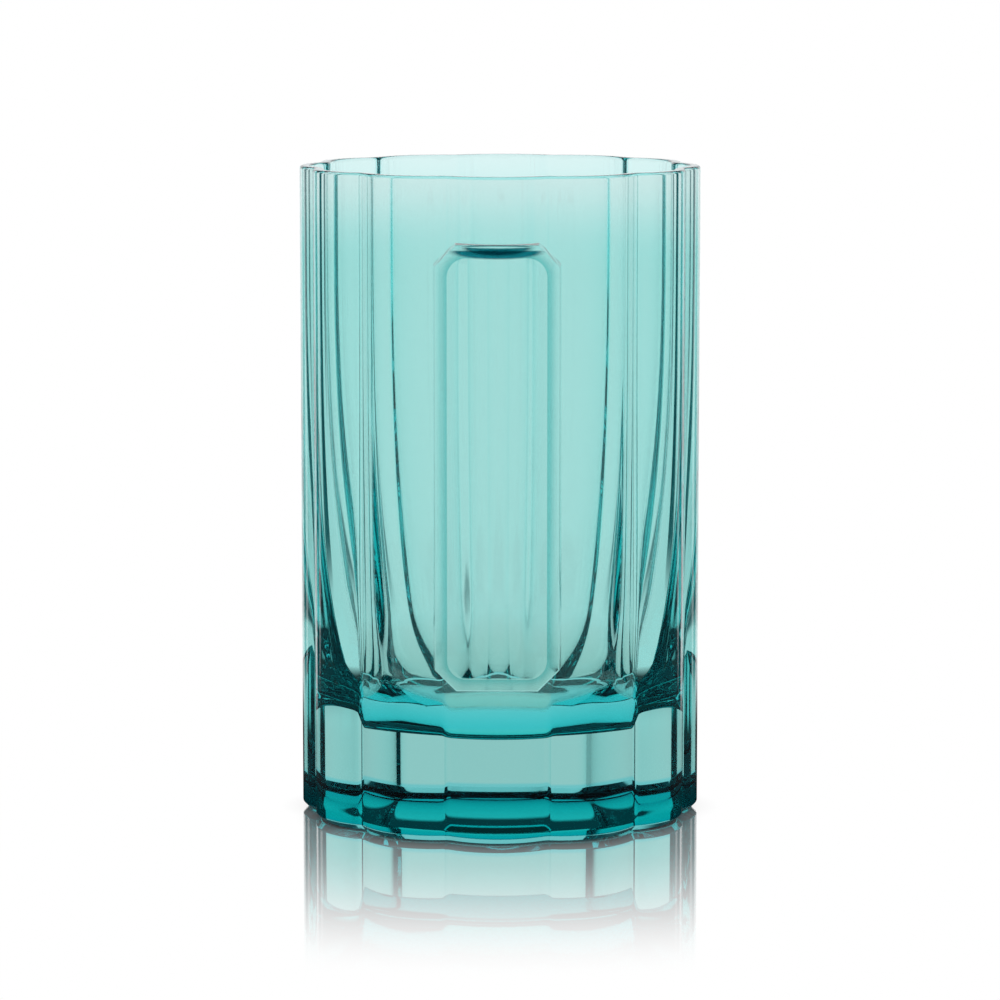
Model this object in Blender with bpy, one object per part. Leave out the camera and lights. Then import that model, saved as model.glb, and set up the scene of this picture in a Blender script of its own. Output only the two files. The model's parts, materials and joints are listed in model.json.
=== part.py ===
"""Fluted aperitif tumbler of pressed glass, in metres, +Z up.

The origin is on the glass's axis, on the surface it stands on. The front, with the raised plaque,
faces -Y.
"""

import math

import bmesh
import bpy
from mathutils import Vector

# Overall form
HEIGHT = 0.1055             # foot to rim
CREST_RADIUS = 0.0325       # axis to the outermost line of a flute
FLUTE_COUNT = 12
FLUTE_DEPTH = 0.0016        # crest line to groove line, along the radius
FLUTE_STEPS = 8             # facets across one flute

# Wall and bore
RIM_WALL = 0.0018           # glass thickness in the upper, parallel part
RIM_ROUND = 0.0005          # radius of the fire-polished edges of the rim
RIM_STEPS = 3
BORE_FLUTE_DEPTH = 0.0015   # crest line to ridge line of the bore's flutes
BORE_FADE_HEIGHT = 0.0155   # cavity floor to where the bore's flutes are full
TAPER_DROP = 0.0130         # rim to where the bore begins to taper
TAPER_POWER = 2.5
TAPER_RINGS = 12
BASE_THICKNESS = 0.0145     # foot to cavity floor
FLOOR_RADIUS = 0.0240       # radius that the taper would reach at the cavity floor
BOWL_RADIUS = 0.0140        # round between the taper and the cavity floor
BOWL_RINGS = 8
BOWL_PASSES = 8             # enough for the tangent height to settle

# Underside
FOOT_BEVEL = 0.0005
PUNT_RADIUS = 0.0215
PUNT_DEPTH = 0.0030
PUNT_RINGS = 5

# Plaque on the front flute
PLAQUE_WIDTH = 0.0160       # flat face
PLAQUE_PROUD = 0.0014       # face in front of the flute's crest line
PLAQUE_TOP_DROP = 0.0125    # rim to the top of the flat face
PLAQUE_FOOT_RISE = 0.0268   # foot to the bottom of the flat face
PLAQUE_CORNER = 0.0021      # 45 degree cut at each corner
PLAQUE_SIDE_DRAFT = math.radians(28.0)
PLAQUE_END_DRAFT = math.radians(47.0)

JOINT_GAP = 0.0003          # between sections of the pressing
SHARP_ANGLE = math.radians(30.0)
GLASS_IOR = 1.51

BORE_RADIUS = CREST_RADIUS - RIM_WALL
TAPER_TOP = HEIGHT - TAPER_DROP
WALL_FOOT = BASE_THICKNESS + JOINT_GAP


def glass_material(name, color, roughness):
    material = bpy.data.materials.new(name)
    material.use_nodes = True
    shader = material.node_tree.nodes["Principled BSDF"]
    shader.inputs["Base Color"].default_value = (*color, 1.0)
    shader.inputs["Roughness"].default_value = roughness
    shader.inputs["Metallic"].default_value = 0.0
    shader.inputs["Transmission Weight"].default_value = 1.0
    shader.inputs["IOR"].default_value = GLASS_IOR
    return material


def add_object(name, bm, material=None):
    bmesh.ops.recalc_face_normals(bm, faces=bm.faces)
    mesh = bpy.data.meshes.new(name)
    bm.to_mesh(mesh)
    bm.free()
    mesh.shade_smooth()
    mesh.set_sharp_from_angle(angle=SHARP_ANGLE)
    if material:
        mesh.materials.append(material)
    thing = bpy.data.objects.new(name, mesh)
    bpy.context.scene.collection.objects.link(thing)
    return thing


def fluted_section(crest, depth, z):
    """One turn of convex circular flutes that meet in sharp grooves, the first centred on -Y."""
    pitch = math.tau / FLUTE_COUNT
    groove = crest - depth
    half_width = groove * math.sin(pitch / 2)
    sagitta = crest - groove * math.cos(pitch / 2)
    flute_radius = (half_width ** 2 + sagitta ** 2) / (2 * sagitta)
    centre = crest - flute_radius
    half_angle = math.atan2(half_width, flute_radius - sagitta)
    points = []
    for flute in range(FLUTE_COUNT):
        heading = flute * pitch - math.pi / 2
        for step in range(FLUTE_STEPS):
            turn = heading + half_angle * (2 * step / FLUTE_STEPS - 1)
            x = centre * math.cos(heading) + flute_radius * math.cos(turn)
            y = centre * math.sin(heading) + flute_radius * math.sin(turn)
            points.append(Vector((x, y, z)))
    return points


def round_section(radius, z):
    """The same number of points on a circle, at the headings of the outer section's points."""
    points = []
    for point in fluted_section(CREST_RADIUS, FLUTE_DEPTH, z):
        heading = math.atan2(point.y, point.x)
        points.append(Vector((radius * math.cos(heading), radius * math.sin(heading), z)))
    return points


def start_ring(bm, section):
    verts = [bm.verts.new(point) for point in section]
    edges = [bm.edges.new((verts[i - 1], verts[i])) for i in range(len(verts))]
    return verts, edges


def extrude_ring(bm, ring, section):
    """Extrude a ring of edges to the next section and return the new ring."""
    verts, edges = ring
    made = bmesh.ops.extrude_edge_only(bm, edges=edges)["geom"]
    new_edges = [item for item in made if isinstance(item, bmesh.types.BMEdge)]
    partner = {}
    for vert in verts:
        for edge in vert.link_edges:
            other = edge.other_vert(vert)
            if other in made:
                partner[vert] = other
    new_verts = [partner[vert] for vert in verts]
    for vert, point in zip(new_verts, section):
        vert.co = point
    return new_verts, new_edges


def taper_radius(z):
    """Crest radius of the bore above the bowl: parallel near the rim, narrowing ever faster below."""
    share = max(0.0, (TAPER_TOP - z) / (TAPER_TOP - BASE_THICKNESS))
    return BORE_RADIUS - (BORE_RADIUS - FLOOR_RADIUS) * share ** TAPER_POWER


def taper_lean(z):
    """Angle between the tapering bore and the upright."""
    length = TAPER_TOP - BASE_THICKNESS
    share = max(0.0, (TAPER_TOP - z) / length)
    return math.atan((BORE_RADIUS - FLOOR_RADIUS) * TAPER_POWER * share ** (TAPER_POWER - 1) / length)


def bowl_top():
    """Height at which the round of the bowl runs into the taper without a corner."""
    z = BASE_THICKNESS + BOWL_RADIUS
    for _ in range(BOWL_PASSES):
        z = BASE_THICKNESS + BOWL_RADIUS * (1 - math.sin(taper_lean(z)))
    return z


def bore_crest(z):
    top = bowl_top()
    if z >= top:
        return taper_radius(z)
    centre = taper_radius(top) - BOWL_RADIUS * math.cos(taper_lean(top))
    rise = BASE_THICKNESS + BOWL_RADIUS - z
    return centre + math.sqrt(BOWL_RADIUS ** 2 - rise ** 2)


def bore_section(z, widen=0.0):
    """The bore's flutes keep their proportion to its radius and fade out in the bowl."""
    crest = bore_crest(z) + widen
    fade = min(1.0, (z - BASE_THICKNESS) / BORE_FADE_HEIGHT)
    return fluted_section(crest, BORE_FLUTE_DEPTH * fade * crest / BORE_RADIUS, z)


def build_fluted_wall(material):
    bm = bmesh.new()
    first = start_ring(bm, fluted_section(CREST_RADIUS, FLUTE_DEPTH, WALL_FOOT))
    ring = first
    for step in range(RIM_STEPS + 1):
        turn = math.pi / 2 * step / RIM_STEPS
        inset = RIM_ROUND * (1 - math.cos(turn))
        z = HEIGHT - RIM_ROUND * (1 - math.sin(turn))
        ring = extrude_ring(bm, ring, fluted_section(CREST_RADIUS - inset, FLUTE_DEPTH, z))
    for step in range(RIM_STEPS + 1):
        turn = math.pi / 2 * step / RIM_STEPS
        widen = RIM_ROUND * (1 - math.sin(turn))
        z = HEIGHT - RIM_ROUND * (1 - math.cos(turn))
        ring = extrude_ring(bm, ring, bore_section(z, widen))
    bore_top = HEIGHT - RIM_ROUND
    joint = bowl_top()
    for step in range(1, TAPER_RINGS + 1):
        z = bore_top + (joint - bore_top) * step / TAPER_RINGS
        ring = extrude_ring(bm, ring, bore_section(z))
    centre_z = BASE_THICKNESS + BOWL_RADIUS
    first_turn = math.asin((centre_z - joint) / BOWL_RADIUS)
    last_turn = math.asin((centre_z - WALL_FOOT) / BOWL_RADIUS)
    for step in range(1, BOWL_RINGS + 1):
        turn = first_turn + (last_turn - first_turn) * step / BOWL_RINGS
        ring = extrude_ring(bm, ring, bore_section(centre_z - BOWL_RADIUS * math.sin(turn)))
    bmesh.ops.bridge_loops(bm, edges=ring[1] + first[1])
    return add_object("fluted_wall", bm, material)


def build_heavy_base(material):
    bm = bmesh.new()
    first = start_ring(bm, fluted_section(CREST_RADIUS, FLUTE_DEPTH, BASE_THICKNESS))
    ring = extrude_ring(bm, first, fluted_section(CREST_RADIUS, FLUTE_DEPTH, FOOT_BEVEL))
    ring = extrude_ring(bm, ring, fluted_section(CREST_RADIUS - FOOT_BEVEL, FLUTE_DEPTH, 0.0))
    for step in range(PUNT_RINGS):
        share = step / PUNT_RINGS
        z = PUNT_DEPTH * (1 - (1 - share) ** 2)
        ring = extrude_ring(bm, ring, round_section(PUNT_RADIUS * (1 - share), z))
    bmesh.ops.contextual_create(bm, geom=ring[1])
    bmesh.ops.contextual_create(bm, geom=first[1])
    return add_object("heavy_base", bm, material)


def build_front_plaque(material):
    face_y = -CREST_RADIUS - PLAQUE_PROUD
    back_y = -CREST_RADIUS / 2
    reach = back_y - face_y

    def outline(y, widen, lengthen):
        half = PLAQUE_WIDTH / 2 + widen
        bottom = PLAQUE_FOOT_RISE - lengthen
        top = HEIGHT - PLAQUE_TOP_DROP + lengthen
        cut = PLAQUE_CORNER
        return [Vector((x, y, z)) for x, z in (
            (-half + cut, bottom), (half - cut, bottom),
            (half, bottom + cut), (half, top - cut),
            (half - cut, top), (-half + cut, top),
            (-half, top - cut), (-half, bottom + cut))]

    bm = bmesh.new()
    front = start_ring(bm, outline(face_y, 0.0, 0.0))
    widen = reach * math.tan(PLAQUE_SIDE_DRAFT)
    lengthen = reach * math.tan(PLAQUE_END_DRAFT)
    back = extrude_ring(bm, front, outline(back_y, widen, lengthen))
    bmesh.ops.contextual_create(bm, geom=front[1])
    bmesh.ops.contextual_create(bm, geom=back[1])
    plaque = add_object("front_plaque", bm, material)

    bm = bmesh.new()
    seat_crest = CREST_RADIUS + JOINT_GAP
    low_ring = start_ring(bm, fluted_section(seat_crest, FLUTE_DEPTH, -HEIGHT))
    high_ring = extrude_ring(bm, low_ring, fluted_section(seat_crest, FLUTE_DEPTH, 2 * HEIGHT))
    bmesh.ops.contextual_create(bm, geom=low_ring[1])
    bmesh.ops.contextual_create(bm, geom=high_ring[1])
    cutter = add_object("plaque_seat_cutter", bm)
    cutter.hide_render = True
    cutter.display_type = 'WIRE'
    seat = plaque.modifiers.new("seat_on_flutes", 'BOOLEAN')
    seat.operation = 'DIFFERENCE'
    seat.solver = 'EXACT'
    seat.object = cutter
    return plaque


for old in list(bpy.data.objects):
    bpy.data.objects.remove(old)

build_fluted_wall(glass_material("teal_wall_glass", (0.55, 0.80, 0.78), 0.02))
build_heavy_base(glass_material("teal_base_glass", (0.40, 0.70, 0.69), 0.02))
build_front_plaque(glass_material("teal_plaque_glass", (0.50, 0.77, 0.75), 0.04))
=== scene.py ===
"""A teal pressed-glass aperitif tumbler on a glossy white table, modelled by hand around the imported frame."""

import json
import math

import bmesh
import bpy
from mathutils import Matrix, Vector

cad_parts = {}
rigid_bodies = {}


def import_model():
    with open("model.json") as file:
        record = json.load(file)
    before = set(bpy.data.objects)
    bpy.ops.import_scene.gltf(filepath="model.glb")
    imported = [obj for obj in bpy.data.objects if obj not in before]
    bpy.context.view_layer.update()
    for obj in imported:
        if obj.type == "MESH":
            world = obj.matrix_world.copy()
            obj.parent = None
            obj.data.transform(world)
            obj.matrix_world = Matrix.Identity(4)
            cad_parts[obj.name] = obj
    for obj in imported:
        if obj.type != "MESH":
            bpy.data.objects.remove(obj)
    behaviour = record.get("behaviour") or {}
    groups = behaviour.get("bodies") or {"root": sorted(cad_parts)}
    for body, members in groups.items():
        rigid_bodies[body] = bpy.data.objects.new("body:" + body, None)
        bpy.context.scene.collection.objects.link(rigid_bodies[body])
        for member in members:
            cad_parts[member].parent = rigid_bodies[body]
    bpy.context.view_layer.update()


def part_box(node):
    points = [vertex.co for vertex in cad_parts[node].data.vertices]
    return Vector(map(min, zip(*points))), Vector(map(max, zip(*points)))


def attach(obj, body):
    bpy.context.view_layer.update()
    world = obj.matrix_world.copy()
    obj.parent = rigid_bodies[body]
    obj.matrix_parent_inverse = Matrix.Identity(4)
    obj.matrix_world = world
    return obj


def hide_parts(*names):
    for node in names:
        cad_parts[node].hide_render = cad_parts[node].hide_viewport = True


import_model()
bpy.ops.object.select_all(action='DESELECT')


# The fluted outside of the tumbler. It is soda-lime glass, pressed in an iron mould whose twelve
# hollows leave twelve convex flutes, and the grooves between them come out slightly rounded.
wall_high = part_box("fluted_wall")[1]
height = wall_high[2]
crest_radius = wall_high[0]
flute_count = 12
flute_depth = 0.0018
groove_round = 0.0022
flute_steps = 24
groove_steps = 6
wall_lifts = 8
merge_distance = 0.000001
start_size = 0.001


def select_edges(wanted):
    """In edit mode, select the edges that the test accepts and nothing else."""
    bpy.ops.mesh.select_mode(type='EDGE')
    bpy.ops.mesh.select_all(action='DESELECT')
    mesh = bmesh.from_edit_mesh(bpy.context.object.data)
    for edge in mesh.edges:
        if wanted(edge):
            edge.select_set(True)
    bmesh.update_edit_mesh(bpy.context.object.data)


def at_height(edge, z):
    return all(abs(vert.co.z - z) < merge_distance for vert in edge.verts)


def add_point(place):
    """A single selected vertex in the mesh that is being edited."""
    bpy.ops.mesh.primitive_plane_add(size=start_size)
    bpy.ops.mesh.merge(type='CENTER')
    bpy.ops.transform.translate(value=place)


def draw_fluted_ring(crest, depth, corner_round, z):
    """Spin one flute and its groove, then copy the pair round the axis. The first flute faces -Y."""
    pitch = math.tau / flute_count
    groove = crest - depth
    half_width = groove * math.sin(pitch / 2)
    sagitta = crest - groove * math.cos(pitch / 2)
    flute_radius = (half_width ** 2 + sagitta ** 2) / (2 * sagitta)
    centre = crest - flute_radius
    across = centre * math.sin(pitch / 2)
    reach = centre * math.cos(pitch / 2) + math.sqrt((flute_radius + corner_round) ** 2 - across ** 2)
    round_x = reach * math.sin(pitch / 2)
    round_y = -reach * math.cos(pitch / 2)
    half_turn = math.atan2(round_x, -centre - round_y)
    bpy.ops.mesh.select_mode(type='VERT')
    add_point((-flute_radius * math.sin(half_turn), -centre - flute_radius * math.cos(half_turn), z))
    bpy.ops.mesh.spin(steps=flute_steps, angle=2 * half_turn, center=(0, -centre, z), axis=(0, 0, -1))
    bpy.ops.mesh.spin(
        steps=groove_steps, angle=pitch - 2 * half_turn, center=(round_x, round_y, z), axis=(0, 0, -1))
    bpy.ops.mesh.select_linked()
    bpy.ops.mesh.spin(
        steps=flute_count - 1, angle=math.tau - pitch, center=(0, 0, z), axis=(0, 0, -1), dupli=True)
    bpy.ops.mesh.select_all(action='SELECT')
    bpy.ops.mesh.remove_doubles(threshold=merge_distance)
    select_edges(lambda edge: edge.is_wire and at_height(edge, z))


def lift_ring(rise, scale=1.0, rounding=0.0):
    """Extrude the selected ring along the axis, scale it about the axis and turn it towards a circle."""
    bpy.ops.mesh.extrude_edges_move(TRANSFORM_OT_translate={"value": (0, 0, rise)})
    bpy.ops.transform.resize(value=(scale, scale, 1), center_override=(0, 0, 0))
    if rounding:
        bpy.ops.transform.tosphere(value=rounding)


bpy.ops.mesh.primitive_plane_add(size=start_size)
glass = bpy.context.object
glass.name = "pressed_glass"
glass.data.name = "pressed_glass"
bpy.ops.object.mode_set(mode='EDIT')
bpy.ops.mesh.delete(type='VERT')
draw_fluted_ring(crest_radius, flute_depth, groove_round, 0.0)
for lift in range(wall_lifts):
    lift_ring(height / wall_lifts)


# The bore. A plunger with twelve flutes of its own forms it: parallel to the outside near the rim, narrower
# below, and run out into a smooth bowl over the thick base. The rim is then softened by a flame.
rim_wall = 0.0018
rim_round = 0.0005
rim_round_steps = 4
bore_radius = crest_radius - rim_wall
bore_flute_depth = 0.00223
bore_ridge_round = 0.0087
cavity_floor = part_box("heavy_base")[1][2]
taper_top = height - 0.0130
taper_power = 2.5
taper_floor_radius = 0.0240
taper_lifts = 26
bowl_radius = 0.0140
bowl_lifts = 14
bowl_passes = 8
flutes_end = 0.0160
flutes_full = 0.0360
floor_lifts = 4


def taper_radius(z):
    share = max(0.0, (taper_top - z) / (taper_top - cavity_floor))
    return bore_radius - (bore_radius - taper_floor_radius) * share ** taper_power


def taper_lean(z):
    length = taper_top - cavity_floor
    share = max(0.0, (taper_top - z) / length)
    slope = (bore_radius - taper_floor_radius) * taper_power * share ** (taper_power - 1) / length
    return math.atan(slope)


bowl_top = cavity_floor + bowl_radius
for _ in range(bowl_passes):
    bowl_top = cavity_floor + bowl_radius * (1 - math.sin(taper_lean(bowl_top)))
bowl_lean = taper_lean(bowl_top)
bowl_centre = taper_radius(bowl_top) - bowl_radius * math.cos(bowl_lean)
bore_line = []
for lift in range(taper_lifts + 1):
    z = height + (bowl_top - height) * lift / taper_lifts
    bore_line.append((taper_radius(z), z))
for lift in range(1, bowl_lifts + 1):
    turn = bowl_lean + (math.pi / 2 - bowl_lean) * lift / bowl_lifts
    z = cavity_floor + bowl_radius * (1 - math.sin(turn))
    bore_line.append((bowl_centre + bowl_radius * math.cos(turn), z))

draw_fluted_ring(bore_radius, bore_flute_depth, bore_ridge_round, height + rim_wall)
select_edges(lambda edge: at_height(edge, height) or at_height(edge, height + rim_wall))
bpy.ops.mesh.bridge_edge_loops()
select_edges(lambda edge: at_height(edge, height + rim_wall))
bpy.ops.transform.translate(value=(0, 0, -rim_wall))
fluting = 1.0
for (radius, z), (next_radius, next_z) in zip(bore_line, bore_line[1:]):
    next_fluting = min(1.0, max(0.0, (next_z - flutes_end) / (flutes_full - flutes_end)))
    rounding = 1 - next_fluting / fluting if fluting else 0.0
    lift_ring(next_z - z, next_radius / radius, rounding)
    fluting = next_fluting
for lift in range(floor_lifts, 1, -1):
    lift_ring(0.0, (lift - 1) / lift)
bpy.ops.mesh.extrude_edges_move()
bpy.ops.mesh.merge(type='CENTER')


# The underside. The foot is a flat ring of the same pressed glass, with its outer edge cut off at a slant and
# softened. Inside it the mould's bottom plate leaves a shallow round hollow, so the tumbler stands steady.
foot_cut = 0.0009
foot_round = 0.00015
foot_round_steps = 3
punt_radius = 0.0215
punt_depth = 0.0020
punt_lifts = 14

select_edges(lambda edge: edge.is_boundary and at_height(edge, 0.0))
lift_ring(0.0, punt_radius / crest_radius, 1.0)
ring = [vert for vert in bmesh.from_edit_mesh(glass.data).verts if vert.select]
widen = punt_radius / ring[0].co.length
bpy.ops.transform.resize(value=(widen, widen, 1), center_override=(0, 0, 0))
for lift in range(punt_lifts - 1):
    share = 1 - lift / punt_lifts
    next_share = 1 - (lift + 1) / punt_lifts
    lift_ring(punt_depth * (share ** 2 - next_share ** 2), next_share / share)
bpy.ops.mesh.extrude_edges_move(
    TRANSFORM_OT_translate={"value": (0, 0, punt_depth / punt_lifts ** 2)})
bpy.ops.mesh.merge(type='CENTER')

bpy.ops.mesh.select_all(action='SELECT')
bpy.ops.mesh.normals_make_consistent(inside=False)


def along_edge_of(edge, z):
    """True for the edges that run round the axis at that height, not those that cross from ring to ring."""
    near, far = (vert.co.xy.length for vert in edge.verts)
    return at_height(edge, z) and abs(near - far) < rim_wall / 4


select_edges(lambda edge: along_edge_of(edge, height))
bpy.ops.mesh.bevel(offset=rim_round, segments=rim_round_steps, profile=0.5, affect='EDGES')
foot_inside = crest_radius - 2 * flute_depth
select_edges(lambda edge: along_edge_of(edge, 0.0) and edge.verts[0].co.xy.length > foot_inside)
bpy.ops.mesh.bevel(offset=foot_cut, segments=1, affect='EDGES')
select_edges(lambda edge: along_edge_of(edge, foot_cut) or (
    along_edge_of(edge, 0.0) and edge.verts[0].co.xy.length > foot_inside))
bpy.ops.mesh.bevel(offset=foot_round, segments=foot_round_steps, profile=0.5, affect='EDGES')
bpy.ops.object.mode_set(mode='OBJECT')


# The plaque on the front flute. It is glass pressed with the body, a flat raised panel with a sloped border:
# its corners are cut at 45 degrees, its sides lean slightly for the mould, and its edges are softened.
plaque_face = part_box("front_plaque")[0][1]
plaque_sink = 0.0060
plaque_width = 0.0156
plaque_bottom = 0.0268
plaque_top = height - 0.0125
plaque_border = 0.0020
plaque_border_drop = 0.0005
plaque_corner = 0.0034
plaque_lean = math.radians(4.0)
plaque_edge_round = 0.00025
plaque_edge_steps = 4
seat_depth = 0.0008

bpy.ops.object.select_all(action='DESELECT')
plaque_front = plaque_face + plaque_border_drop
plaque_back = -crest_radius + plaque_sink
plaque_reach = plaque_back - plaque_front
plaque_span = plaque_width + 2 * plaque_border
plaque_length = plaque_top - plaque_bottom + 2 * plaque_border
plaque_middle = (plaque_top + plaque_bottom) / 2


def at_depth(edge, y):
    return all(abs(vert.co.y - y) < merge_distance for vert in edge.verts)


bpy.ops.mesh.primitive_cube_add(size=1)
plaque = bpy.context.object
plaque.name = "plaque_panel"
bpy.ops.object.mode_set(mode='EDIT')
bpy.ops.transform.resize(value=(plaque_span, plaque_reach, plaque_length))
bpy.ops.transform.translate(value=(0, (plaque_front + plaque_back) / 2, plaque_middle))
select_edges(lambda edge: at_depth(edge, plaque_back))
spread = 2 * plaque_reach * math.tan(plaque_lean)
bpy.ops.transform.resize(
    value=(1 + spread / plaque_span, 1, 1 + spread / plaque_length),
    center_override=(0, plaque_back, plaque_middle))
select_edges(lambda edge: abs(edge.verts[0].co.y - edge.verts[1].co.y) > plaque_reach / 2)
bpy.ops.mesh.bevel(offset=plaque_corner, segments=1, affect='EDGES')
select_edges(lambda edge: at_depth(edge, plaque_front))
bmesh.from_edit_mesh(plaque.data).select_flush(True)
bpy.ops.mesh.select_mode(type='FACE')
bpy.ops.mesh.inset(thickness=plaque_border, use_even_offset=True)
bpy.ops.transform.translate(value=(0, -plaque_border_drop, 0))
select_edges(lambda edge: at_depth(edge, plaque_face) or at_depth(edge, plaque_front))
bpy.ops.mesh.bevel(offset=plaque_edge_round, segments=plaque_edge_steps, profile=0.5, affect='EDGES')
bpy.ops.mesh.select_all(action='SELECT')
bpy.ops.mesh.normals_make_consistent(inside=False)
bpy.ops.object.mode_set(mode='OBJECT')

bpy.ops.mesh.primitive_plane_add(size=start_size)
seat = bpy.context.object
bpy.ops.object.mode_set(mode='EDIT')
bpy.ops.mesh.delete(type='VERT')
draw_fluted_ring(crest_radius - seat_depth, flute_depth, groove_round, -height)
bpy.ops.mesh.edge_face_add()
bpy.ops.mesh.extrude_region_move(TRANSFORM_OT_translate={"value": (0, 0, 3 * height)})
bpy.ops.mesh.select_all(action='SELECT')
bpy.ops.mesh.normals_make_consistent(inside=False)
bpy.ops.object.mode_set(mode='OBJECT')


def cut_or_join(piece, other, operation):
    """Apply a Boolean with the other object, which is used up."""
    bpy.ops.object.select_all(action='DESELECT')
    bpy.context.view_layer.objects.active = piece
    modifier = piece.modifiers.new(operation.lower(), 'BOOLEAN')
    modifier.operation = operation
    modifier.solver = 'EXACT'
    modifier.object = other
    bpy.ops.object.modifier_apply(modifier=modifier.name)
    bpy.data.objects.remove(other)


cut_or_join(plaque, seat, 'DIFFERENCE')
cut_or_join(glass, plaque, 'UNION')


# The teal lacquer and the glass under it. The tumbler is faintly green through and through, and its outside
# and underside are sprayed with a clear teal lacquer, which is thinner near the rim and gathers round the foot.
# The bore above its bowl has none. Under the plaque's top a dark crescent is painted shade, and along the
# plaque's border a deeper teal band is a painted crease line for the light that the crease bends.
glass_ior = 1.51
smooth_angle = math.radians(32.0)
coat_limit = 0.05
underside_limit = -0.5
coat_name = "lacquer"
clear_glass = (0.985, 0.995, 0.995, 1.0)
lacquer_through = (0.85, 0.82, 0.775, 1.0)
lacquer_tint = (0.47, 0.925, 0.935, 1.0)
bulk_colour = (0.20, 0.52, 0.525, 1.0)
bulk_density = 7.5
bowl_wash_top = 0.0260
bowl_wash_full = 0.0180
rim_fade_start = 0.0890
rim_fade_share = 0.45
# Painted shade: the near-black base colour of the dark crescent under the plaque's top ledge.
ledge_painted_shade = (0.0002, 0.040, 0.060, 1.0)
ledge_height = plaque_top + 0.0011
ledge_half_width = 0.0082
ledge_half_height = 0.00140
ledge_soft = 0.0002
ledge_core = 0.75
# Painted crease line: the deeper teal drawn along the plaque's border for the light that the crease bends.
crease_line_colour = (0.17, 0.49, 0.47, 1.0)
crease_line_start = 0.00002
crease_line_end = 0.0020
crease_line_depth = 0.0060
face_corner = 0.0030
foot_pool = (0.30, 0.74, 0.80, 1.0)
foot_pool_full = 0.0012
foot_pool_top = 0.0016
ripple_scale = 70.0
ripple_height = 0.00002

glass.select_set(True)
bpy.context.view_layer.objects.active = glass
lacquered = glass.data.attributes.new(coat_name, 'FLOAT', 'FACE')
for face, mask in zip(glass.data.polygons, lacquered.data):
    outward = face.normal.xy.dot(face.center.xy.normalized())
    below_rim = face.center.z < height - rim_round / 2
    if face.normal.z < underside_limit or (outward > coat_limit and below_rim):
        mask.value = 1.0
bpy.ops.object.shade_smooth_by_angle(angle=smooth_angle)
bpy.ops.object.modifier_add(type='WEIGHTED_NORMAL')
flat_faces = glass.modifiers[-1]
flat_faces.keep_sharp = True
bpy.ops.object.modifier_apply(modifier=flat_faces.name)

lacquered_glass = bpy.data.materials.new("teal_lacquered_glass")
lacquered_glass.use_nodes = True
nodes = lacquered_glass.node_tree.nodes
links = lacquered_glass.node_tree.links
shader = nodes["Principled BSDF"]
shader.inputs["Metallic"].default_value = 0.0
shader.inputs["Roughness"].default_value = 0.0
shader.inputs["IOR"].default_value = glass_ior
shader.inputs["Transmission Weight"].default_value = 1.0
shader.inputs["Coat Roughness"].default_value = 0.0
shader.inputs["Coat IOR"].default_value = 1.0
shader.inputs["Coat Tint"].default_value = lacquer_tint
coat_mask = nodes.new('ShaderNodeAttribute')
coat_mask.attribute_name = coat_name
place = nodes.new('ShaderNodeTexCoord')
place_parts = nodes.new('ShaderNodeSeparateXYZ')
links.new(place.outputs["Object"], place_parts.inputs["Vector"])
bowl_wash = nodes.new('ShaderNodeMapRange')
bowl_wash.interpolation_type = 'SMOOTHSTEP'
bowl_wash.inputs["From Min"].default_value = bowl_wash_full
bowl_wash.inputs["From Max"].default_value = bowl_wash_top
bowl_wash.inputs["To Min"].default_value = 1.0
bowl_wash.inputs["To Max"].default_value = 0.0
links.new(place_parts.outputs["Z"], bowl_wash.inputs["Value"])
rim_fade = nodes.new('ShaderNodeMapRange')
rim_fade.interpolation_type = 'SMOOTHSTEP'
rim_fade.inputs["From Min"].default_value = rim_fade_start
rim_fade.inputs["From Max"].default_value = height
rim_fade.inputs["To Min"].default_value = 1.0
rim_fade.inputs["To Max"].default_value = rim_fade_share
links.new(place_parts.outputs["Z"], rim_fade.inputs["Value"])
sprayed = nodes.new('ShaderNodeMath')
sprayed.operation = 'MULTIPLY'
links.new(coat_mask.outputs["Fac"], sprayed.inputs[0])
links.new(rim_fade.outputs["Result"], sprayed.inputs[1])
lacquer = nodes.new('ShaderNodeMath')
lacquer.operation = 'MAXIMUM'
links.new(sprayed.outputs["Value"], lacquer.inputs[0])
links.new(bowl_wash.outputs["Result"], lacquer.inputs[1])
through = nodes.new('ShaderNodeMix')
through.data_type = 'RGBA'
through.inputs["A"].default_value = clear_glass
through.inputs["B"].default_value = lacquer_through
links.new(lacquer.outputs["Value"], through.inputs["Factor"])
# The dark crescent under the plaque's top is painted shade: an oval just below the ledge where the base colour
# turns almost black.
ledge_place = nodes.new('ShaderNodeMapping')
ledge_place.vector_type = 'TEXTURE'
ledge_place.inputs["Location"].default_value = (0, plaque_face, ledge_height)
ledge_place.inputs["Scale"].default_value = (ledge_half_width, ledge_half_width, ledge_half_height)
links.new(place.outputs["Object"], ledge_place.inputs["Vector"])
ledge_distance = nodes.new('ShaderNodeVectorMath')
ledge_distance.operation = 'LENGTH'
links.new(ledge_place.outputs["Vector"], ledge_distance.inputs[0])
ledge_share = nodes.new('ShaderNodeMapRange')
ledge_share.interpolation_type = 'SMOOTHSTEP'
ledge_share.inputs["From Min"].default_value = ledge_core
ledge_share.inputs["From Max"].default_value = 1.0
ledge_share.inputs["To Min"].default_value = 1.0
ledge_share.inputs["To Max"].default_value = 0.0
links.new(ledge_distance.outputs["Value"], ledge_share.inputs["Value"])
ledge_below = nodes.new('ShaderNodeMapRange')
ledge_below.inputs["From Min"].default_value = ledge_height
ledge_below.inputs["From Max"].default_value = ledge_height + ledge_soft
ledge_below.inputs["To Min"].default_value = 1.0
ledge_below.inputs["To Max"].default_value = 0.0
links.new(place_parts.outputs["Z"], ledge_below.inputs["Value"])
ledge_shade_mask = nodes.new('ShaderNodeMath')
ledge_shade_mask.operation = 'MULTIPLY'
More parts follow.
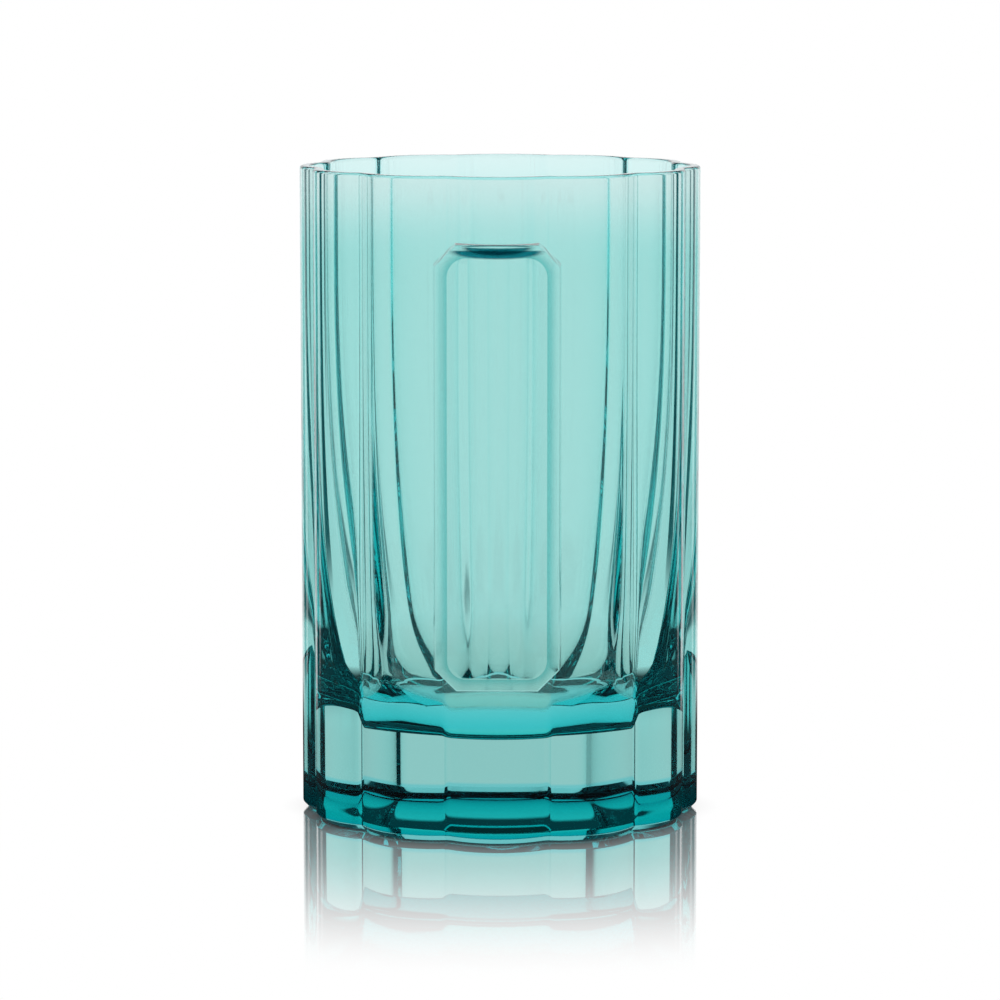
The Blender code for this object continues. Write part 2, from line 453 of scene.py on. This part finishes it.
links.new(ledge_share.outputs["Result"], ledge_shade_mask.inputs[0])
links.new(ledge_below.outputs["Result"], ledge_shade_mask.inputs[1])
# A painted crease line: a band just outside the plaque's flat face, on lacquered faces, where the base colour
# turns a deeper teal to draw the light that the crease bends.
face_place = nodes.new('ShaderNodeMapping')
face_place.inputs["Location"].default_value = (0, -plaque_face, -plaque_middle)
links.new(place.outputs["Object"], face_place.inputs["Vector"])
face_half = nodes.new('ShaderNodeVectorMath')
face_half.operation = 'ABSOLUTE'
links.new(face_place.outputs["Vector"], face_half.inputs[0])
past_face = nodes.new('ShaderNodeVectorMath')
past_face.operation = 'SUBTRACT'
past_face.inputs[1].default_value = (
    plaque_width / 2 - face_corner, crease_line_depth, (plaque_top - plaque_bottom) / 2 - face_corner)
links.new(face_half.outputs["Vector"], past_face.inputs[0])
only_past = nodes.new('ShaderNodeVectorMath')
only_past.operation = 'MAXIMUM'
links.new(past_face.outputs["Vector"], only_past.inputs[0])
border_distance = nodes.new('ShaderNodeVectorMath')
border_distance.operation = 'LENGTH'
links.new(only_past.outputs["Vector"], border_distance.inputs[0])
border_share = nodes.new('ShaderNodeMapRange')
border_share.interpolation_type = 'SMOOTHSTEP'
border_share.inputs["From Min"].default_value = face_corner + crease_line_start
border_share.inputs["From Max"].default_value = face_corner + crease_line_end
border_share.inputs["To Min"].default_value = 1.0
border_share.inputs["To Max"].default_value = 0.0
links.new(border_distance.outputs["Value"], border_share.inputs["Value"])
off_face = nodes.new('ShaderNodeMath')
off_face.operation = 'GREATER_THAN'
off_face.inputs[1].default_value = face_corner + crease_line_start
links.new(border_distance.outputs["Value"], off_face.inputs[0])
border_outside = nodes.new('ShaderNodeMath')
border_outside.operation = 'MULTIPLY'
links.new(border_share.outputs["Result"], border_outside.inputs[0])
links.new(off_face.outputs["Value"], border_outside.inputs[1])
crease_line_mask = nodes.new('ShaderNodeMath')
crease_line_mask.operation = 'MULTIPLY'
links.new(border_outside.outputs["Value"], crease_line_mask.inputs[0])
links.new(coat_mask.outputs["Fac"], crease_line_mask.inputs[1])
# Mix in the painted crease line round the plaque's border.
with_crease_line = nodes.new('ShaderNodeMix')
with_crease_line.data_type = 'RGBA'
with_crease_line.inputs["B"].default_value = crease_line_colour
links.new(through.outputs["Result"], with_crease_line.inputs["A"])
links.new(crease_line_mask.outputs["Value"], with_crease_line.inputs["Factor"])
# Mix in the painted shade of the crescent under the plaque's top.
shaded_under_ledge = nodes.new('ShaderNodeMix')
shaded_under_ledge.data_type = 'RGBA'
shaded_under_ledge.inputs["B"].default_value = ledge_painted_shade
links.new(with_crease_line.outputs["Result"], shaded_under_ledge.inputs["A"])
links.new(ledge_shade_mask.outputs["Value"], shaded_under_ledge.inputs["Factor"])
foot_share = nodes.new('ShaderNodeMapRange')
foot_share.inputs["From Min"].default_value = foot_pool_full
foot_share.inputs["From Max"].default_value = foot_pool_top
foot_share.inputs["To Min"].default_value = 1.0
foot_share.inputs["To Max"].default_value = 0.0
links.new(place_parts.outputs["Z"], foot_share.inputs["Value"])
foot_pooled = nodes.new('ShaderNodeMix')
foot_pooled.data_type = 'RGBA'
foot_pooled.inputs["B"].default_value = foot_pool
links.new(shaded_under_ledge.outputs["Result"], foot_pooled.inputs["A"])
links.new(foot_share.outputs["Result"], foot_pooled.inputs["Factor"])
links.new(foot_pooled.outputs["Result"], shader.inputs["Base Color"])
side = nodes.new('ShaderNodeNewGeometry')
inner_hit = nodes.new('ShaderNodeMath')
inner_hit.operation = 'MULTIPLY'
links.new(lacquer.outputs["Value"], inner_hit.inputs[0])
links.new(side.outputs["Backfacing"], inner_hit.inputs[1])
links.new(inner_hit.outputs["Value"], shader.inputs["Coat Weight"])
ripple = nodes.new('ShaderNodeTexNoise')
ripple.inputs["Scale"].default_value = ripple_scale
ripple.inputs["Detail"].default_value = 1.0
links.new(place.outputs["Object"], ripple.inputs["Vector"])
ripple_bump = nodes.new('ShaderNodeBump')
ripple_bump.inputs["Strength"].default_value = 1.0
ripple_bump.inputs["Distance"].default_value = ripple_height
links.new(ripple.outputs["Fac"], ripple_bump.inputs["Height"])
links.new(ripple_bump.outputs["Normal"], shader.inputs["Normal"])
bulk = nodes.new('ShaderNodeVolumeAbsorption')
bulk.inputs["Color"].default_value = bulk_colour
bulk.inputs["Density"].default_value = bulk_density
links.new(bulk.outputs["Volume"], nodes["Material Output"].inputs["Volume"])
glass.data.materials.clear()
glass.data.materials.append(lacquered_glass)

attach(glass, "root")
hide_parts("fluted_wall", "heavy_base", "front_plaque")


# The table. It is a sheet of polished white acrylic that mirrors what stands on it when looked along flat,
# and the mirror image fades out a hand's breadth from the glass. Rays through the glass find it mirroring
# the room behind the glass, and dim in a ring beside the foot where light turned in the base comes down.
table_size = 6.0
table_drop = 0.0002
mirror_near = 0.030
mirror_far = 0.120
mirror_share = 0.85
shadow_reach = 0.004
mirror_rough = 0.01
flat_look = math.radians(20.0)
steep_look = math.radians(27.0)
lit_near = 0.080
lit_far = 0.150
behind_inner = math.radians(53.0)
behind_outer = math.radians(57.0)
table_in_glass = 0.05
table_after_turn = 0.06
turn_near = 0.040
turn_far = 0.055

bpy.ops.object.select_all(action='DESELECT')
bpy.ops.mesh.primitive_plane_add(size=table_size)
table = bpy.context.object
table.name = "white_table"
bpy.ops.object.mode_set(mode='EDIT')
bpy.ops.transform.translate(value=(0, 0, -table_drop))
bpy.ops.object.mode_set(mode='OBJECT')
acrylic = bpy.data.materials.new("white_acrylic")
acrylic.use_nodes = True
nodes = acrylic.node_tree.nodes
links = acrylic.node_tree.links
nodes.clear()
surface = nodes.new('ShaderNodeOutputMaterial')
white = nodes.new('ShaderNodeEmission')
mirror = nodes.new('ShaderNodeBsdfGlossy')
mirror.inputs["Color"].default_value = (1, 1, 1, 1)
mirror.inputs["Roughness"].default_value = mirror_rough
shade = nodes.new('ShaderNodeAmbientOcclusion')
shade.inputs["Distance"].default_value = shadow_reach
links.new(shade.outputs["Color"], white.inputs["Color"])
place = nodes.new('ShaderNodeTexCoord')
distance = nodes.new('ShaderNodeVectorMath')
distance.operation = 'LENGTH'
links.new(place.outputs["Object"], distance.inputs[0])
fade = nodes.new('ShaderNodeMapRange')
fade.interpolation_type = 'SMOOTHSTEP'
fade.inputs["From Min"].default_value = mirror_near
fade.inputs["From Max"].default_value = mirror_far
fade.inputs["To Min"].default_value = mirror_share
fade.inputs["To Max"].default_value = 0.0
links.new(distance.outputs["Value"], fade.inputs["Value"])
look = nodes.new('ShaderNodeLayerWeight')
look.inputs["Blend"].default_value = 0.5
flatness = nodes.new('ShaderNodeMapRange')
flatness.interpolation_type = 'SMOOTHSTEP'
flatness.inputs["From Min"].default_value = 1 - math.sin(steep_look)
flatness.inputs["From Max"].default_value = 1 - math.sin(flat_look)
links.new(look.outputs["Facing"], flatness.inputs["Value"])
near_and_flat = nodes.new('ShaderNodeMath')
near_and_flat.operation = 'MULTIPLY'
links.new(fade.outputs["Result"], near_and_flat.inputs[0])
links.new(flatness.outputs["Result"], near_and_flat.inputs[1])
seen = nodes.new('ShaderNodeMixShader')
links.new(near_and_flat.outputs["Value"], seen.inputs["Fac"])
links.new(white.outputs["Emission"], seen.inputs[1])
links.new(mirror.outputs["BSDF"], seen.inputs[2])
farness = nodes.new('ShaderNodeMapRange')
farness.interpolation_type = 'SMOOTHSTEP'
farness.inputs["From Min"].default_value = lit_near
farness.inputs["From Max"].default_value = lit_far
links.new(distance.outputs["Value"], farness.inputs["Value"])
heading = nodes.new('ShaderNodeVectorMath')
heading.operation = 'NORMALIZE'
links.new(place.outputs["Object"], heading.inputs[0])
heading_parts = nodes.new('ShaderNodeSeparateXYZ')
links.new(heading.outputs["Vector"], heading_parts.inputs["Vector"])
behind = nodes.new('ShaderNodeMapRange')
behind.interpolation_type = 'SMOOTHSTEP'
behind.inputs["From Min"].default_value = math.cos(behind_outer)
behind.inputs["From Max"].default_value = math.cos(behind_inner)
links.new(heading_parts.outputs["Y"], behind.inputs["Value"])
far_behind = nodes.new('ShaderNodeMath')
far_behind.operation = 'MULTIPLY'
links.new(farness.outputs["Result"], far_behind.inputs[0])
links.new(behind.outputs["Result"], far_behind.inputs[1])
far_and_flat = nodes.new('ShaderNodeMath')
far_and_flat.operation = 'MULTIPLY'
links.new(far_behind.outputs["Value"], far_and_flat.inputs[0])
links.new(flatness.outputs["Result"], far_and_flat.inputs[1])
ray = nodes.new('ShaderNodeLightPath')
unmirrored = nodes.new('ShaderNodeMapRange')
unmirrored.inputs["To Min"].default_value = table_in_glass
unmirrored.inputs["To Max"].default_value = 1.0
links.new(ray.outputs["Is Transmission Ray"], unmirrored.inputs["Value"])
turned = nodes.new('ShaderNodeMath')
turned.operation = 'GREATER_THAN'
turned.inputs[1].default_value = 0.5
links.new(ray.outputs["Glossy Depth"], turned.inputs[0])
beyond_foot = nodes.new('ShaderNodeMath')
beyond_foot.operation = 'GREATER_THAN'
beyond_foot.inputs[1].default_value = crest_radius
links.new(distance.outputs["Value"], beyond_foot.inputs[0])
beside_foot = nodes.new('ShaderNodeMapRange')
beside_foot.inputs["From Min"].default_value = turn_near
beside_foot.inputs["From Max"].default_value = turn_far
beside_foot.inputs["To Min"].default_value = 1.0
beside_foot.inputs["To Max"].default_value = 0.0
links.new(distance.outputs["Value"], beside_foot.inputs["Value"])
foot_ring = nodes.new('ShaderNodeMath')
foot_ring.operation = 'MULTIPLY'
links.new(beyond_foot.outputs["Value"], foot_ring.inputs[0])
links.new(beside_foot.outputs["Result"], foot_ring.inputs[1])
turned_out = nodes.new('ShaderNodeMath')
turned_out.operation = 'MULTIPLY'
links.new(turned.outputs["Value"], turned_out.inputs[0])
links.new(foot_ring.outputs["Value"], turned_out.inputs[1])
left_over = nodes.new('ShaderNodeMapRange')
left_over.inputs["To Min"].default_value = 1.0
left_over.inputs["To Max"].default_value = table_after_turn
links.new(turned_out.outputs["Value"], left_over.inputs["Value"])
table_level = nodes.new('ShaderNodeMath')
table_level.operation = 'MULTIPLY'
links.new(unmirrored.outputs["Result"], table_level.inputs[0])
links.new(left_over.outputs["Result"], table_level.inputs[1])
plain_white = nodes.new('ShaderNodeEmission')
plain_white.inputs["Color"].default_value = (1, 1, 1, 1)
links.new(table_level.outputs["Value"], plain_white.inputs["Strength"])
through_glass = nodes.new('ShaderNodeMixShader')
links.new(far_and_flat.outputs["Value"], through_glass.inputs["Fac"])
links.new(plain_white.outputs["Emission"], through_glass.inputs[1])
links.new(mirror.outputs["BSDF"], through_glass.inputs[2])
finish = nodes.new('ShaderNodeMixShader')
links.new(ray.outputs["Is Camera Ray"], finish.inputs["Fac"])
links.new(through_glass.outputs["Shader"], finish.inputs[1])
links.new(seen.outputs["Shader"], finish.inputs[2])
links.new(finish.outputs["Shader"], surface.inputs["Surface"])
table.data.materials.append(acrylic)


# The studio. A wide white backdrop of paper stands behind the table and reaches some way up, and dark teal
# cloth flags at its sides and overhead, with a gap between them, draw the dark lines along the flutes.
# Seen directly or in the table, all of it is white.
backdrop_width = math.radians(46.0)
mirrored_width = math.radians(32.5)
backdrop_height = math.radians(30.0)
gap_start = math.radians(40.5)
gap_end = math.radians(49.0)
gap_soft = math.radians(1.5)
backdrop_inner = 0.92
backdrop_outer = 1.06
flag_colour = (0.004, 0.090, 0.105, 1.0)

studio = bpy.data.worlds.new("studio")
bpy.context.scene.world = studio
studio.use_nodes = True
nodes = studio.node_tree.nodes
links = studio.node_tree.links
light = nodes["Background"]
light.inputs["Strength"].default_value = 1.0
direction = nodes.new('ShaderNodeTexCoord')
parts = nodes.new('ShaderNodeSeparateXYZ')
links.new(direction.outputs["Generated"], parts.inputs["Vector"])
bearing = nodes.new('ShaderNodeMath')
bearing.operation = 'ARCTAN2'
links.new(parts.outputs["X"], bearing.inputs[0])
links.new(parts.outputs["Y"], bearing.inputs[1])
elevation = nodes.new('ShaderNodeMath')
elevation.operation = 'ARCSINE'
links.new(parts.outputs["Z"], elevation.inputs[0])
ray = nodes.new('ShaderNodeLightPath')
half_width = nodes.new('ShaderNodeMapRange')
half_width.inputs["To Min"].default_value = mirrored_width
half_width.inputs["To Max"].default_value = backdrop_width
links.new(ray.outputs["Is Transmission Ray"], half_width.inputs["Value"])
across = nodes.new('ShaderNodeMath')
across.operation = 'DIVIDE'
links.new(bearing.outputs["Value"], across.inputs[0])
links.new(half_width.outputs["Result"], across.inputs[1])
upward = nodes.new('ShaderNodeMath')
upward.operation = 'DIVIDE'
links.new(elevation.outputs["Value"], upward.inputs[0])
upward.inputs[1].default_value = backdrop_height
oval = nodes.new('ShaderNodeCombineXYZ')
links.new(across.outputs["Value"], oval.inputs["X"])
links.new(upward.outputs["Value"], oval.inputs["Y"])
from_middle = nodes.new('ShaderNodeVectorMath')
from_middle.operation = 'LENGTH'
links.new(oval.outputs["Vector"], from_middle.inputs[0])
room = nodes.new('ShaderNodeMapRange')
room.interpolation_type = 'SMOOTHSTEP'
room.inputs["From Min"].default_value = backdrop_inner
room.inputs["From Max"].default_value = backdrop_outer
room.inputs["To Min"].default_value = 1.0
room.inputs["To Max"].default_value = 0.0
links.new(from_middle.outputs["Value"], room.inputs["Value"])
not_through = nodes.new('ShaderNodeMath')
not_through.operation = 'LESS_THAN'
not_through.inputs[1].default_value = 0.5
links.new(ray.outputs["Transmission Depth"], not_through.inputs[0])
mirrored_once = nodes.new('ShaderNodeMath')
mirrored_once.operation = 'LESS_THAN'
mirrored_once.inputs[1].default_value = 1.5
links.new(ray.outputs["Glossy Depth"], mirrored_once.inputs[0])
seen_outside = nodes.new('ShaderNodeMath')
seen_outside.operation = 'MULTIPLY'
links.new(not_through.outputs["Value"], seen_outside.inputs[0])
links.new(mirrored_once.outputs["Value"], seen_outside.inputs[1])
in_table = nodes.new('ShaderNodeMath')
in_table.operation = 'SUBTRACT'
links.new(seen_outside.outputs["Value"], in_table.inputs[0])
links.new(ray.outputs["Is Singular Ray"], in_table.inputs[1])
seen_plainly = nodes.new('ShaderNodeMath')
seen_plainly.operation = 'MAXIMUM'
links.new(in_table.outputs["Value"], seen_plainly.inputs[0])
links.new(ray.outputs["Is Camera Ray"], seen_plainly.inputs[1])
aside = nodes.new('ShaderNodeMath')
aside.operation = 'ABSOLUTE'
links.new(bearing.outputs["Value"], aside.inputs[0])
past_start = nodes.new('ShaderNodeMapRange')
past_start.interpolation_type = 'SMOOTHSTEP'
past_start.inputs["From Min"].default_value = gap_start
past_start.inputs["From Max"].default_value = gap_start + gap_soft
links.new(aside.outputs["Value"], past_start.inputs["Value"])
past_end = nodes.new('ShaderNodeMapRange')
past_end.interpolation_type = 'SMOOTHSTEP'
past_end.inputs["From Min"].default_value = gap_end
past_end.inputs["From Max"].default_value = gap_end + gap_soft
links.new(aside.outputs["Value"], past_end.inputs["Value"])
in_gap = nodes.new('ShaderNodeMath')
in_gap.operation = 'SUBTRACT'
links.new(past_start.outputs["Result"], in_gap.inputs[0])
links.new(past_end.outputs["Result"], in_gap.inputs[1])
gap_in_mirror = nodes.new('ShaderNodeMath')
gap_in_mirror.operation = 'SUBTRACT'
links.new(in_gap.outputs["Value"], gap_in_mirror.inputs[0])
links.new(ray.outputs["Is Transmission Ray"], gap_in_mirror.inputs[1])
lit_room = nodes.new('ShaderNodeMath')
lit_room.operation = 'MAXIMUM'
links.new(room.outputs["Result"], lit_room.inputs[0])
links.new(gap_in_mirror.outputs["Value"], lit_room.inputs[1])
level = nodes.new('ShaderNodeMath')
level.operation = 'MAXIMUM'
links.new(lit_room.outputs["Value"], level.inputs[0])
links.new(seen_plainly.outputs["Value"], level.inputs[1])
cloth = nodes.new('ShaderNodeMix')
cloth.data_type = 'RGBA'
cloth.inputs["A"].default_value = flag_colour
cloth.inputs["B"].default_value = (1, 1, 1, 1)
links.new(level.outputs["Value"], cloth.inputs["Factor"])
links.new(cloth.outputs["Result"], light.inputs["Color"])


# The camera. It stands less than a metre in front of the table on a long lens and looks slightly down.
camera_distance = 0.7237
camera_height = 0.1484
camera_tilt = math.radians(7.69)
camera_bearing = math.radians(0.79)
camera_lens = 160.56
camera_sensor = 36.0
camera_clip = 0.01
all_bounces = 32
glass_bounces = 24

view = bpy.data.cameras.new("camera")
view.sensor_width = camera_sensor
view.lens = camera_lens
view.clip_start = camera_clip
camera = bpy.data.objects.new("camera", view)
camera.location = (
    camera_distance * math.sin(camera_bearing), -camera_distance * math.cos(camera_bearing), camera_height)
camera.rotation_euler = (math.pi / 2 - camera_tilt, 0, camera_bearing)
bpy.context.scene.collection.objects.link(camera)
bpy.context.scene.camera = camera
bpy.context.scene.view_settings.view_transform = 'Standard'
bpy.context.scene.cycles.max_bounces = all_bounces
bpy.context.scene.cycles.glossy_bounces = glass_bounces
bpy.context.scene.cycles.transmission_bounces = glass_bounces
